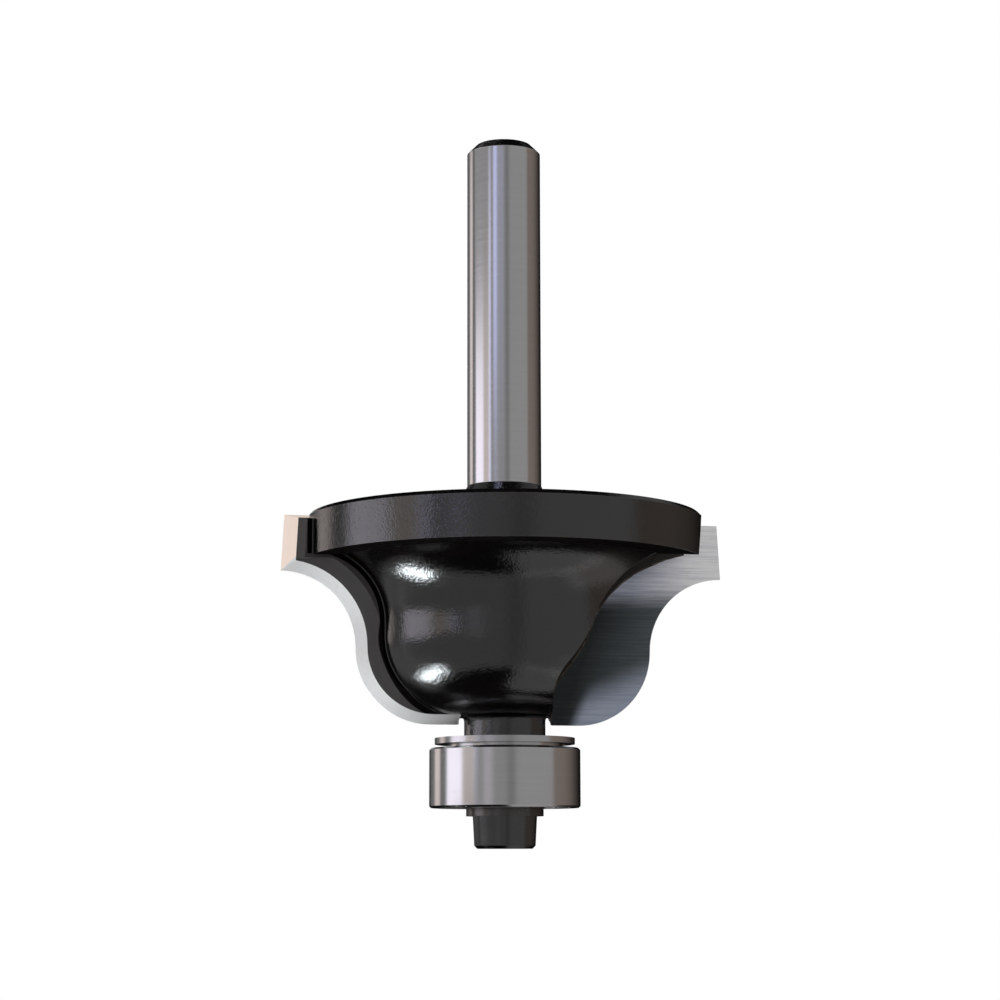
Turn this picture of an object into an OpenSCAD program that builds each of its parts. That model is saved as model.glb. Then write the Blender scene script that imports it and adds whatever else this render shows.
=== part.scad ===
// Router bit with two carbide-tipped teeth that cut a bead below a cove, and a guide bearing.
// The axis is Z with the shank up, and the origin is on the axis at the foot of the cap screw.
// Tooth 1 points along +X, with its rake face in the plane y = 0 facing -Y. Tooth 2 is opposite.

/* [Shank] */
// Diameter of the ground shank
shank_d = 6.35; // [5.5:0.05:8]
// Length of the ground shank, from the flare to its end chamfer
shank_length = 29.27; // [20:0.01:60]
// Chamfer at the free end of the shank
shank_chamfer = 0.78; // [0.2:0.01:1.5]
// Height of the flare between the disc and the shank
flare_height = 2.7; // [1.5:0.05:5]
// Diameter of the flare where it meets the disc
flare_d = 9.1; // [8.4:0.05:12]

/* [Disc] */
// Diameter of the disc above the hub
disc_d = 33.9; // [32.5:0.05:35]
// Height of the disc's straight rim
rim_height = 3.47; // [2.8:0.01:4]
// Chamfer round the top of the disc
disc_chamfer = 0.35; // [0.1:0.01:0.8]
// How far the disc stands above the teeth
disc_lift = 0.2; // [0:0.01:0.4]

/* [Cutting profile] */
// Cutting diameter at the land
cut_d = 38.1; // [37.8:0.05:40]
// Height of the cutting edge, from the foot of a tooth to its top
cut_height = 17.4; // [17:0.05:18.6]
// Distance from the axis to the inner end of the cutting edge
cut_inner_r = 4; // [3.9:0.05:4.3]
// Distance from the axis to the waist between bead and cove
waist_r = 12.7; // [12.4:0.05:13]
// Radius of the rounded lower half of the edge
bead_r = 6.35; // [6:0.05:6.5]
// Radius of the hollow upper half of the edge
cove_r = 6.35; // [6:0.05:6.4]
// Side clearance of the land towards the shank, in degrees
land_taper = 3; // [0:0.5:5]

/* [Teeth] */
// Thickness of a carbide tip behind its rake face
tip_thickness = 1.6; // [1.2:0.05:1.9]
// Thickness of the steel wing behind the tip
wing_thickness = 1.3; // [0.9:0.05:1.8]
// Relief of the carbide behind bead and cove, in degrees
tip_relief = 25.5; // [12:0.5:27]
// Relief of the steel behind bead and cove, in degrees
wing_relief = 40; // [28:1:42]
// Height above the foot of the land at which that relief ends
relief_rise = 0.8; // [0.7:0.05:1]
// Relief of the carbide behind the land, in degrees
tip_land_relief = 33; // [20:1:36]
// Relief of the steel behind the land, in degrees
wing_land_relief = 25; // [15:1:35]
// Relief of the carbide at the top of a tooth, in degrees
tip_top_relief = 15; // [5:1:20]
// Relief of the steel at the top of a tooth, in degrees
wing_top_relief = 11; // [5:1:20]

/* [Hub] */
// Radius of the hub's straight side
hub_r = 11; // [10.6:0.05:11.3]
// Radius of the hub's rounded foot
hub_bead_r = 6.4; // [6:0.05:6.7]
// Radius of the hollow between the hub and the disc
hub_cove_r = 6.2; // [6:0.05:6.8]
// Height of that hollow below the disc
hub_cove_height = 5.52; // [5:0.01:5.8]
// How far the hub's foot is above the foot of the teeth
hub_lift = 0.75; // [0.4:0.05:0.9]
// Diameter of the neck below the hub
neck_d = 6.86; // [6.2:0.02:7]
// Length of the neck, from the dust washer to the foot of the teeth
neck_length = 1.1; // [0.8:0.05:3]
// Fillet between the neck and the hub
neck_fillet = 0.45; // [0.2:0.05:0.6]

/* [Gullets] */
// Angle of the gullet floor to a line square to the rake face, in degrees
gullet_turn = 11; // [5:0.5:14]
// Height above the foot of the teeth at which the gullet floor leaves the neck
gullet_foot_height = 2.3; // [1.8:0.05:2.8]
// Distance from the axis to the root of the gullet floor
gullet_root_r = 5.1; // [4.8:0.05:5.4]
// Height of the root above the foot of the teeth
gullet_root_height = 4.5; // [4.2:0.05:4.8]
// Depth of the hollow floor below the root
gullet_root_hollow = 0.15; // [0.05:0.01:0.25]
// Distance from the axis to the knee of the gullet floor
gullet_knee_r = 7.85; // [7.6:0.05:8.1]
// Height of the knee above the foot of the teeth
gullet_knee_height = 9.3; // [9:0.05:9.6]
// Rise of the rounded floor between root and knee
gullet_floor_rise = 0.3; // [0.1:0.01:0.4]
// Distance from the axis to the shoulder of the gullet floor, under the disc
gullet_shoulder_r = 10.4; // [10.1:0.05:10.7]
// Height of the shoulder above the foot of the teeth
gullet_shoulder_height = 12.4; // [12.2:0.05:12.6]
// Depth of the hollow floor between knee and shoulder
gullet_hollow = 0.2; // [0.1:0.01:0.3]
// Distance from the axis to the notch that the gullet makes in the disc
gullet_notch_r = 15.75; // [15.3:0.05:16.2]
// Height above the foot of the teeth at which the gullet turns up into the notch
gullet_notch_height = 14.83; // [14.6:0.01:15]
// Depth of the hollow floor above the shoulder
gullet_notch_hollow = 0.3; // [0.1:0.01:0.4]
// Depth of the gullet floor below the inner edge of a carbide tip
gullet_ledge = 0.03; // [0.02:0.01:0.2]
// Length of the notch ahead of the rake face, at the underside of the disc
notch_length = 8.35; // [7.5:0.05:8.8]
// Lean of the notch's front wall, in degrees
notch_lean = 19; // [8:1:22]

/* [Bearing] */
// Bore of the bearing
bearing_bore = 4.7625; // [4.5:0.0025:5]
// Outer diameter of the bearing
bearing_d = 12.7; // [12.4:0.05:14]
// Width of the bearing
bearing_width = 4.978; // [4.6:0.002:6]
// Rounding of the rings' outer corners
ring_corner = 0.16; // [0.05:0.01:0.25]
// Diameter of a ball
ball_d = 2.381; // [2.2:0.001:2.45]
// Diameter of the circle of ball centres
pitch_d = 8.731; // [8.65:0.001:8.85]
// Number of balls
ball_count = 7; // [5:1:8]
// Outer diameter of the inner ring beside its groove
inner_land_d = 6.96; // [6.8:0.02:7.1]
// Inner diameter of the outer ring beside its groove
outer_land_d = 10.5; // [10.35:0.02:10.65]
// Thickness of a shield
shield_thickness = 0.2; // [0.12:0.01:0.25]
// Depth of a shield below the face of the outer ring
shield_depth = 0.42; // [0.36:0.01:0.5]
// Diameter of the shields' seat in the outer ring
seat_d = 11.24; // [11.1:0.02:11.4]
// Thickness of a snap ring
snap_thickness = 0.2; // [0.12:0.01:0.24]
// Width of a snap ring from its inner to its outer edge
snap_width = 0.4; // [0.3:0.02:0.5]
// Depth of the groove that holds a snap ring
snap_groove = 0.1; // [0.05:0.01:0.16]
// Angle left open in a snap ring, in degrees
snap_opening = 24; // [10:1:40]
// Height of the cage from its open side to its back
cage_height = 2; // [1.9:0.05:2.2]
// Height of the cage's back above the ball centres
cage_back = 1.42; // [1.38:0.01:1.5]
// Thickness of the cage from its inner to its outer wall
cage_wall = 0.74; // [0.6:0.02:0.8]

/* [Washers and spacer] */
// Diameter of the dust washer above the bearing
dust_washer_d = 11.8; // [10.5:0.05:12.6]
// Thickness of the dust washer
dust_washer_t = 0.51; // [0.3:0.01:1]
// Diameter of the spacer's flange
spacer_d = 9.62; // [8.6:0.02:10.2]
// Thickness of the spacer, flange and boss together
spacer_t = 0.33; // [0.2:0.01:0.8]
// Diameter of the spacer's boss, which bears on the inner ring
spacer_boss_d = 6.6; // [6:0.05:6.8]
// Height of the spacer's boss
spacer_boss_t = 0.1; // [0.05:0.01:0.16]
// Diameter of the washer under the screw head
screw_washer_d = 6.5; // [6:0.05:6.8]
// Thickness of the washer under the screw head
screw_washer_t = 0.68; // [0.4:0.01:1]

/* [Cap screw] */
// Diameter of the screw head under its washer
head_d = 5.4; // [5:0.05:5.9]
// Height of the screw head
head_height = 2.7; // [2.2:0.05:3.2]
// How much narrower the head is at its foot
head_draft = 0.26; // [0:0.02:0.4]
// Chamfer at the foot of the head
head_chamfer = 0.26; // [0.1:0.01:0.4]
// Size of the hexagon socket across its flats
socket_af = 2.5; // [2:0.05:3]
// Depth of the hexagon socket
socket_depth = 1.3; // [1:0.05:1.7]
// Diameter of the thread
thread_d = 3; // [2.5:0.05:3.2]
// Length of the screw below its head
screw_length = 8; // [6:0.5:9]
// Chamfer at the end of the thread
thread_chamfer = 0.35; // [0.1:0.05:0.5]

/* [Fits] */
// Radial clearance of the stud in the rings and washers that it carries
stud_gap = 0.01; // [0.005:0.005:0.03]
// Radial clearance of the thread in its tapped hole
thread_gap = 0.02; // [0.01:0.01:0.05]
// Radial clearance of the screw in its washer
screw_gap = 0.1; // [0.05:0.01:0.2]
// Clearance at the inner edge of a carbide tip, filled by the braze
braze_gap = 0.04; // [0.02:0.01:0.08]
// Clearance between a ball and the grooves it runs in
race_gap = 0.03; // [0.01:0.01:0.05]
// Clearance between a ball and its pocket in the cage
pocket_gap = 0.06; // [0.03:0.01:0.09]
// Radial clearance of a shield in its seat, and of a snap ring in its groove
seat_gap = 0.02; // [0.01:0.01:0.04]
// Radial clearance between a shield and the inner ring
shield_gap = 0.14; // [0.08:0.01:0.25]
// How far the stud ends short of the bearing, so that the screw clamps the rings
clamp_gap = 0.25; // [0.1:0.05:0.6]
// Free end of the tapped hole beyond the screw
hole_end_gap = 0.9; // [0.4:0.1:1.5]

/* [Hidden] */
$fn = 96;
// Overlap that carries a cutter clear of a face, and reach of a cutter past the whole bit
eps = 0.5;
far = 40;
// Turn from one flat to the next on the rounded floor of a gullet, in degrees
flat_turn = 3;

shank_r = shank_d / 2;
disc_r = disc_d / 2;
cut_r = cut_d / 2;
neck_r = neck_d / 2;
thread_r = thread_d / 2;
head_r = head_d / 2;
ball_r = ball_d / 2;
pitch_r = pitch_d / 2;
bore_r = bearing_bore / 2;
stud_r = bore_r - stud_gap;

// Heights up the axis
screw_washer_z = head_height;
bearing_z = screw_washer_z + screw_washer_t;
spacer_z = bearing_z + bearing_width;
dust_washer_z = spacer_z + spacer_t;
neck_z = dust_washer_z + dust_washer_t;
tooth_z = neck_z + neck_length;
hub_z = tooth_z + hub_lift;
bead_z = tooth_z + bead_r;
land_z = bead_z + cove_r;
relief_top_z = land_z + relief_rise;
tooth_top_z = tooth_z + cut_height;
disc_top_z = tooth_top_z + disc_lift;
rim_top_z = disc_top_z - disc_chamfer;
rim_z = rim_top_z - rim_height;
hub_bead_z = hub_z + hub_bead_r;
hub_cove_z = rim_z - hub_cove_height;
shank_z = disc_top_z + flare_height;
shank_end_z = shank_z + shank_length;
ball_z = bearing_z + bearing_width / 2;

// The stud reaches almost through the bearing, and the tapped hole goes past the screw's end
stud_z = bearing_z + clamp_gap;
screw_end_z = head_height + screw_length;
hole_end_z = screw_end_z + hole_end_gap;

// Insets of the edge where the carbide meets the steel
tip_inset = tip_thickness * tan(tip_relief);
tip_land_inset = tip_thickness * tan(tip_land_relief);
tip_top_drop = tip_thickness * tan(tip_top_relief);

// Shields and snap rings, measured from a face of the outer ring
seat_r = seat_d / 2;
seat_depth = shield_depth + shield_thickness;
shield_r = seat_r - seat_gap;
shield_bore_r = inner_land_d / 2 + shield_gap;
snap_r = seat_r + snap_groove - seat_gap;

// Points on the arc from p to q, p left out, that stands off its chord by rise, to the left of the
// way from p to q
function arc_on(p, q, rise) =
  let (chord = norm(q - p),
       r = (chord * chord / 4 + rise * rise) / (2 * abs(rise)),
       along = (q - p) / chord,
       left = [-along.y, along.x] * sign(rise),
       centre = (p + q) / 2 + left * (abs(rise) - r),
       half = asin(chord / 2 / r),
       steps = ceil(2 * half / flat_turn))
  concat(
    [for (i = [1 : steps - 1])
       let (a = half * (2 * i / steps - 1))
       centre + r * (left * cos(a) + along * sin(a))],
    [q]);

// Outline of a gullet in the rake plane, as x and z: everything outside the gullet floor.
// The floor is upright beside the neck, hollow up to the root, rounded up to the knee, hollow up to
// the shoulder and on to the notch in the disc, then upright.
// grow moves the floor outwards, and then stretch scales x.
function gullet_outline(stretch = 1, grow = 0) =
  let (foot = [cut_inner_r, tooth_z + gullet_foot_height],
       root = [gullet_root_r, tooth_z + gullet_root_height],
       knee = [gullet_knee_r, tooth_z + gullet_knee_height],
       shoulder = [gullet_shoulder_r, tooth_z + gullet_shoulder_height],
       notch = [gullet_notch_r, tooth_z + gullet_notch_height],
       floor_points = concat(
         [[cut_inner_r, -far], foot],
         arc_on(foot, root, gullet_root_hollow),
         arc_on(root, knee, -gullet_floor_rise),
         arc_on(knee, shoulder, gullet_hollow),
         arc_on(shoulder, notch, gullet_notch_hollow),
         [[gullet_notch_r, far]]))
  concat([for (p = floor_points) [(p.x + grow) * stretch, p.y]], [[far, far], [far, -far]]);

// A 2D shape drawn as x and z, made a block from y_low to y_high
module along_y(y_low, y_high) {
  translate([0, y_high, 0])
    rotate([90, 0, 0])
      linear_extrude(y_high - y_low)
        children();
}

// A 2D shape drawn as y and z, made a block from x_low to x_high
module along_x(x_low, x_high) {
  translate([x_low, 0, 0])
    rotate([90, 0, 90])
      linear_extrude(x_high - x_low)
        children();
}

module twice() {
  for (turn = [0, 180])
    rotate([0, 0, turn])
      children();
}

module ring(z, height, outer_r, inner_r) {
  translate([0, 0, z])
    difference() {
      cylinder(h = height, r = outer_r);
      translate([0, 0, -eps])
        cylinder(h = height + 2 * eps, r = inner_r);
    }
}

// One layer of tooth 1 behind the rake plane, from y_low back through thickness.
// inset, land_inset and top_drop are what the layer has lost at its front face to bead and cove,
// to the land and to the top, and each angle says how fast it loses more.
module tooth_layer(y_low, thickness, inset, relief, land_inset, land_relief, top_drop, top_relief) {
  y_high = y_low + thickness;
  back_inset = inset + thickness * tan(relief);
  bead_x = waist_r - bead_r;
  union() {
    along_x(cut_inner_r, bead_x)
      polygon([
        [y_low, tooth_z + inset],
        [y_high, tooth_z + back_inset],
        [y_high, bead_z],
        [y_low, bead_z]
      ]);
    intersection() {
      translate([bead_x, y_low, bead_z])
        rotate([-90, 0, 0])
          cylinder(h = thickness, r1 = bead_r - inset, r2 = bead_r - back_inset);
      translate([bead_x, y_low - eps, bead_z - far])
        cube([far, thickness + 2 * eps, far]);
    }
    difference() {
      translate([cut_inner_r, y_low, bead_z])
        cube([cut_r - cut_inner_r, thickness, tooth_top_z - bead_z]);
      intersection() {
        translate([waist_r + cove_r, y_low, bead_z])
          rotate([-90, 0, 0])
            cylinder(h = thickness, r1 = cove_r + inset, r2 = cove_r + back_inset);
        translate([0, y_low - eps, 0])
          cube([far, thickness + 2 * eps, relief_top_z]);
      }
      translate([cut_r - land_inset, y_low, land_z])
        rotate([0, -land_taper, 0])
          rotate([0, 0, land_relief])
            translate([0, -far / 2, -far / 2])
              cube(far);
      translate([0, y_low, tooth_top_z - top_drop])
        rotate([-top_relief, 0, 0])
          translate([0, -far / 2, 0])
            cube(far);
    }
  }
}

// The turned hub as a 2D half section: rounded foot, straight side and hollow top
module hub_section() {
  foot_r = hub_r - hub_bead_r;
  translate([0, hub_z])
    square([foot_r, hub_bead_r]);
  intersection() {
    translate([foot_r, hub_bead_z])
      circle(r = hub_bead_r);
    translate([foot_r, hub_z])
      square(hub_bead_r);
  }
  translate([0, hub_bead_z])
    square([hub_r, hub_cove_z - hub_bead_z]);
  difference() {
    translate([0, hub_cove_z])
      square([hub_r + hub_cove_r, hub_cove_height]);
    translate([hub_r + hub_cove_r, hub_cove_z])
      circle(r = hub_cove_r);
  }
}

// Everything below the hub as a 2D half section: the neck with its fillet, and the stud
module neck_section() {
  translate([0, stud_z])
    square([stud_r, neck_z - stud_z]);
  translate([0, neck_z])
    square([neck_r, hub_z - neck_z]);
  difference() {
    translate([neck_r, hub_z - neck_fillet])
      square(neck_fillet);
    translate([neck_r + neck_fillet, hub_z - neck_fillet])
      circle(r = neck_fillet);
  }
}

// The disc, flare and shank as a 2D half section
module shank_section() {
  polygon([
    [0, rim_z],
    [disc_r, rim_z],
    [disc_r, rim_top_z],
    [disc_r - disc_chamfer, disc_top_z],
    [flare_d / 2, disc_top_z],
    [shank_r, shank_z],
    [shank_r, shank_end_z],
    [shank_r - shank_chamfer, shank_end_z + shank_chamfer],
    [0, shank_end_z + shank_chamfer]
  ]);
}

// What the gullet of tooth 1 takes from the hub, ahead of the rake face
module hub_gullet() {
  intersection() {
    rotate([0, 0, -gullet_turn])
      along_y(-far, far)
        polygon(gullet_outline(stretch = cos(gullet_turn), grow = -gullet_ledge));
    translate([0, -far, 0])
      cube(far);
  }
}

// The notch of tooth 1 in the disc, with a leaning front wall
module disc_notch() {
  intersection() {
    hub_gullet();
    translate([0, -notch_length, rim_z])
      rotate([-notch_lean, 0, 0])
        translate([0, 0, -far / 2])
          cube(far);
  }
}

// The pocket that the carbide tip of tooth 1 is brazed into
module tip_pocket() {
  along_y(0, tip_thickness)
    polygon(gullet_outline());
}

module tapped_hole() {
  translate([0, 0, stud_z - eps])
    cylinder(h = hole_end_z - stud_z + eps, r = thread_r + thread_gap);
  translate([0, 0, hole_end_z])
    cylinder(h = thread_r + thread_gap, r1 = thread_r + thread_gap, r2 = 0);
}

module wing() {
  tooth_layer(
    tip_thickness, wing_thickness, tip_inset, wing_relief,
    tip_land_inset, wing_land_relief, tip_top_drop, wing_top_relief);
}

module cutter_body() {
  color([0.16, 0.15, 0.15])
    difference() {
      union() {
        difference() {
          rotate_extrude()
            union() {
              neck_section();
              hub_section();
            }
          twice() {
            hub_gullet();
            tip_pocket();
          }
        }
        difference() {
          rotate_extrude()
            shank_section();
          twice() {
            disc_notch();
            tip_pocket();
          }
        }
        twice()
          wing();
      }
      tapped_hole();
    }
}

module carbide_tip(turn) {
  color([0.72, 0.72, 0.76])
    rotate([0, 0, turn])
      intersection() {
        tooth_layer(0, tip_thickness, 0, tip_relief, 0, tip_land_relief, 0, tip_top_relief);
        along_y(-eps, tip_thickness + eps)
          polygon(gullet_outline(grow = braze_gap));
      }
}

module dust_washer() {
  color([0.6, 0.58, 0.55])
    ring(dust_washer_z, dust_washer_t, dust_washer_d / 2, bore_r);
}

module bearing_spacer() {
  color([0.55, 0.54, 0.53])
    difference() {
      union() {
        translate([0, 0, spacer_z])
          cylinder(h = spacer_t, r = spacer_boss_d / 2);
        translate([0, 0, spacer_z + spacer_boss_t])
          cylinder(h = spacer_t - spacer_boss_t, r = spacer_d / 2);
      }
      translate([0, 0, spacer_z - eps])
        cylinder(h = spacer_t + 2 * eps, r = bore_r);
    }
}

// A half section of a ring between two radii over the bearing's width, with its corners cut
module ring_section(inner_r, outer_r, inner_corner, outer_corner) {
  translate([0, bearing_z])
    polygon([
      [inner_r + inner_corner, 0],
      [outer_r - outer_corner, 0],
      [outer_r, outer_corner],
      [outer_r, bearing_width - outer_corner],
      [outer_r - outer_corner, bearing_width],
      [inner_r + inner_corner, bearing_width],
      [inner_r, bearing_width - inner_corner],
      [inner_r, inner_corner]
    ]);
}

// The groove that the balls run in, as a 2D section
module race_section() {
  translate([pitch_r, ball_z])
    circle(r = ball_r + race_gap);
}

// Runs children at the upper face of the bearing, and turned over at its lower face
module at_both_faces() {
  translate([0, ball_z]) {
    translate([0, bearing_width / 2])
      children();
    mirror([0, 1])
      translate([0, bearing_width / 2])
        children();
  }
}

module bearing_outer_ring() {
  color([0.68, 0.67, 0.69])
    rotate_extrude()
      difference() {
        ring_section(outer_land_d / 2, bearing_d / 2, 0, ring_corner);
        race_section();
        at_both_faces() {
          translate([0, -seat_depth])
            square([seat_r, seat_depth + eps]);
          translate([0, -shield_depth])
            square([seat_r + snap_groove, snap_thickness]);
        }
      }
}

module bearing_inner_ring() {
  color([0.68, 0.67, 0.69])
    rotate_extrude()
      difference() {
        ring_section(bore_r, inner_land_d / 2, ring_corner, 0);
        race_section();
      }
}

// Turns children to the place of ball i
module at_ball(i) {
  rotate([0, 0, 360 / ball_count * (i - 0.5)])
    translate([pitch_r, 0, ball_z])
      children();
}

module bearing_ball(i) {
  color([0.8, 0.8, 0.82])
    at_ball(i)
      sphere(r = ball_r);
}

// A crown cage: a ring with one pocket for each ball, open on its lower side
module ball_cage() {
  color([0.7, 0.62, 0.4])
    difference() {
      ring(ball_z + cage_back - cage_height, cage_height, pitch_r + cage_wall / 2, pitch_r - cage_wall / 2);
      for (i = [1 : ball_count])
        at_ball(i)
          sphere(r = ball_r + pocket_gap);
    }
}

// Runs children at the upper face of the bearing if side is 1, or turned over at the lower face if -1
module at_face(side) {
  translate([0, 0, ball_z + side * bearing_width / 2])
    rotate([side > 0 ? 0 : 180, 0, 0])
      children();
}

module shield(side) {
  color([0.62, 0.62, 0.64])
    at_face(side)
      ring(-seat_depth, shield_thickness, shield_r, shield_bore_r);
}

module snap_ring(side) {
  color([0.5, 0.5, 0.52])
    at_face(side)
      rotate([0, 0, snap_opening / 2])
        rotate_extrude(angle = 360 - snap_opening)
          translate([snap_r - snap_width, -shield_depth])
            square([snap_width, snap_thickness]);
}

module screw_washer() {
  color([0.45, 0.44, 0.44])
    ring(screw_washer_z, screw_washer_t, screw_washer_d / 2, thread_r + screw_gap);
}

module cap_screw() {
  foot_r = head_r - head_draft / 2;
  color([0.12, 0.12, 0.12])
    difference() {
      rotate_extrude()
        polygon([
          [0, 0],
          [foot_r - head_chamfer, 0],
          [foot_r, head_chamfer],
          [head_r, head_height],
          [thread_r, head_height],
          [thread_r, screw_end_z - thread_chamfer],
          [thread_r - thread_chamfer, screw_end_z],
          [0, screw_end_z]
        ]);
      translate([0, 0, -eps])
        cylinder(h = socket_depth + eps, r = socket_af / 2 / cos(30), $fn = 6);
    }
}

cutter_body();
carbide_tip(0);  // carbide_tip_1
carbide_tip(180);  // carbide_tip_2
dust_washer();
bearing_spacer();
bearing_outer_ring();
bearing_inner_ring();
ball_cage();
for (i = [1 : ball_count])
  bearing_ball(i);
shield(1);  // upper_shield
shield(-1);  // lower_shield
snap_ring(1);  // upper_snap_ring
snap_ring(-1);  // lower_snap_ring
screw_washer();
cap_screw();
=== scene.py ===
"""Looks of a router bit: its finishes, braze seams, studio and camera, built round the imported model.

Lengths in the classes below are in millimetres, as in the part's drawing, and the axis is Z with the
shank up. Meshes are written in metres. Heights count from the foot of the cap screw.
"""

import sys

import logging
import math
from dataclasses import dataclass, field
from enum import Enum
from typing import Any, Iterable, Sequence

import bpy
import numpy as np
from mathutils import Matrix, Vector


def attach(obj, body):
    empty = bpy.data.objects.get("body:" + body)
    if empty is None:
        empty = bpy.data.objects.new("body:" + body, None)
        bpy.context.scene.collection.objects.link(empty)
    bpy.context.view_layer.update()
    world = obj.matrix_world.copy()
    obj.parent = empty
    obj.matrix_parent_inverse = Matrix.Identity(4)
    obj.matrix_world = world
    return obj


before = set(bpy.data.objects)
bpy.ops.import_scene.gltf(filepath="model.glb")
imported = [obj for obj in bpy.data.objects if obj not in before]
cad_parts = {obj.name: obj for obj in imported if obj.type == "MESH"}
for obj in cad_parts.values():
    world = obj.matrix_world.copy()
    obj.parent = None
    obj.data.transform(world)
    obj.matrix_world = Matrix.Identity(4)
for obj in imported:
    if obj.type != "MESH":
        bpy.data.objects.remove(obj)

MM = 0.001
# Width of a sharp limit between two finishes, in millimetres
HAIR = 0.02
# Span in which most of a noise lies
NOISE_SPAN = (0.3, 0.7)
LOG = logging.getLogger("router_bit")
Colour = tuple[float, float, float]
Socket = bpy.types.NodeSocket


class Side(Enum):
    """The side of its centre on which an arc lies, as the operation that keeps that side's heights."""

    BELOW = "MINIMUM"
    ABOVE = "MAXIMUM"


class Lay(Enum):
    """The way in which the marks of a tool run over a surface, as how close they lie along X, Y and Z.

    The first two run round the axis, and the others along or across the three axes.
    """

    ROUND = (0.04, 0.04, 1.0)
    TURNED = (0.05, 0.05, 1.0)
    ACROSS = (0.025, 1.0, 1.0)
    ALONG = (0.05, 1.0, 0.05)
    EVEN = (1.0, 1.0, 1.0)


# Node trees and the effects that finishes share


class Sheet:
    """Adds nodes to one node tree and links them, so that a finish reads as a list of steps."""

    def __init__(self, tree: bpy.types.NodeTree) -> None:
        """Takes the tree to draw in.

        Args:
            tree: The node tree of a material, a world or a node group.
        """
        self.tree = tree

    def add(self, kind: str, **settings: Any) -> bpy.types.Node:
        """Adds a node.

        Args:
            kind: Blender's name of the node type.
            settings: Properties of the node.

        Returns:
            The new node.
        """
        node = self.tree.nodes.new(kind)
        for name, value in settings.items():
            setattr(node, name, value)
        return node

    def feed(self, socket: Socket, value: Any) -> None:
        """Links an output to a socket, or sets the socket to a constant.

        Args:
            socket: The input socket.
            value: An output socket, a number, a colour or a vector.
        """
        if isinstance(value, bpy.types.NodeSocket):
            self.tree.links.new(value, socket)
        elif isinstance(value, tuple) and len(value) == 3 and socket.type == "RGBA":
            socket.default_value = (*value, 1.0)
        else:
            socket.default_value = value

    def math(self, operation: str, a: Any, b: Any = 0.0, c: Any = 0.0) -> Socket:
        """Does one step of arithmetic.

        Args:
            operation: Blender's name of the operation.
            a: First number or output.
            b: Second number or output.
            c: Third number or output.

        Returns:
            The result's socket.
        """
        node = self.add("ShaderNodeMath", operation=operation)
        for socket, value in zip(node.inputs, (a, b, c)):
            self.feed(socket, value)
        return node.outputs[0]

    def plus(self, a: Any, b: Any) -> Socket:
        """Adds two numbers."""
        return self.math("ADD", a, b)

    def minus(self, a: Any, b: Any) -> Socket:
        """Takes b from a."""
        return self.math("SUBTRACT", a, b)

    def times(self, *factors: Any) -> Socket:
        """Multiplies two or more numbers.

        Args:
            factors: Numbers or outputs.

        Returns:
            The product's socket.
        """
        product = factors[0]
        for factor in factors[1:]:
            product = self.math("MULTIPLY", product, factor)
        return product

    def times_plus(self, a: Any, factor: Any, extra: Any) -> Socket:
        """Multiplies a by the factor and adds what is extra."""
        return self.math("MULTIPLY_ADD", a, factor, extra)

    def apart(self, a: Any, b: Any) -> Socket:
        """Works out how far apart two numbers lie."""
        return self.math("ABSOLUTE", self.minus(a, b))

    def step(self, value: Any, low: float, high: float) -> Socket:
        """Rises smoothly from 0 where value is low to 1 where it is high.

        Args:
            value: The number to look at.
            low: Where the rise starts.
            high: Where it ends; it may be below low, and then the step falls.

        Returns:
            The mask's socket.
        """
        flip = high < low
        node = self.add("ShaderNodeMapRange", interpolation_type="SMOOTHSTEP")
        span = (high, low, 1.0, 0.0) if flip else (low, high, 0.0, 1.0)
        self.feed(node.inputs[0], value)
        for socket, number in zip(node.inputs[1:5], span):
            socket.default_value = number
        return node.outputs[0]

    def band(self, value: Any, ends: tuple[float, float], fades: tuple[float, float]) -> Socket:
        """Makes a mask that is 1 between two ends and dies away beyond them.

        Args:
            value: The number to look at.
            ends: Where the band is whole, from low to high.
            fades: How far it takes to die away below the first end and above the second.

        Returns:
            The mask's socket.
        """
        rise = self.step(value, ends[0] - fades[0], ends[0])
        return self.times(rise, self.step(value, ends[1] + fades[1], ends[1]))

    def fit(self, value: Any, to_low: float, to_high: float, low: float = 0.0, high: float = 1.0) -> Socket:
        """Stretches value in a straight line from low..high to to_low..to_high.

        Args:
            value: The number to stretch.
            to_low: Result at low.
            to_high: Result at high.
            low: Start of the value's own span.
            high: End of that span.

        Returns:
            The result's socket.
        """
        node = self.add("ShaderNodeMapRange")
        self.feed(node.inputs[0], value)
        for socket, number in zip(node.inputs[1:5], (low, high, to_low, to_high)):
            socket.default_value = number
        return node.outputs[0]

    def blend(self, share: Any, a: Any, b: Any, how: str = "MIX") -> Socket:
        """Mixes two colours.

        Args:
            share: How much of b there is.
            a: First colour.
            b: Second colour.
            how: Blender's name of the blend.

        Returns:
            The colour's socket.
        """
        node = self.add("ShaderNodeMix", data_type="RGBA", blend_type=how)
        for socket, value in zip((node.inputs[0], node.inputs[6], node.inputs[7]), (share, a, b)):
            self.feed(socket, value)
        return node.outputs[2]

    def weigh(self, share: Any, a: Any, b: Any) -> Socket:
        """Mixes two numbers.

        Args:
            share: How much of b there is.
            a: First number or output.
            b: Second number or output.

        Returns:
            The mixed number's socket.
        """
        node = self.add("ShaderNodeMix", data_type="FLOAT")
        for socket, value in zip((node.inputs[0], node.inputs[2], node.inputs[3]), (share, a, b)):
            self.feed(socket, value)
        return node.outputs[0]

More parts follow.
